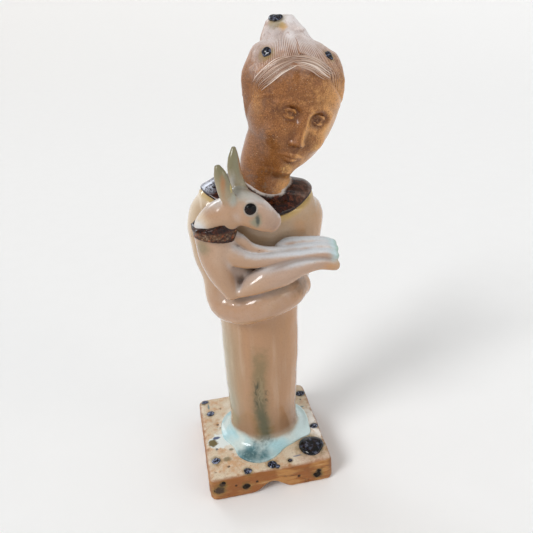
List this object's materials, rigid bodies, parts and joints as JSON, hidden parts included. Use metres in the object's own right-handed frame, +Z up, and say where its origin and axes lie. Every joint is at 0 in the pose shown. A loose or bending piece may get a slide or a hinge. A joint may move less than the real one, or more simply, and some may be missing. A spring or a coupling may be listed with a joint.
{
  "type": "figure sculpture",
  "caption": "Slim standing figure with an inclined head and a topknot, holding a long-eared animal on folded arms, on a square slab with an arched notch.",
  "frame": {"origin": "middle of the slab's underside", "axes": "+Z up, -Y the way the figure faces, +X towards the side that the animal's legs point to"},
  "size_m": [0.1077, 0.0947, 0.3112],
  "materials": {
    "glazed_stoneware": "cream and tan glaze, glossy, with a brown collar and a golden brown head",
    "speckled_clay": "bare speckled clay with a pale slip on top, satin"
  },
  "bodies": {
    "root": {"figure": "glazed_stoneware", "base_slab": "speckled_clay"}
  },
  "joints": []
}
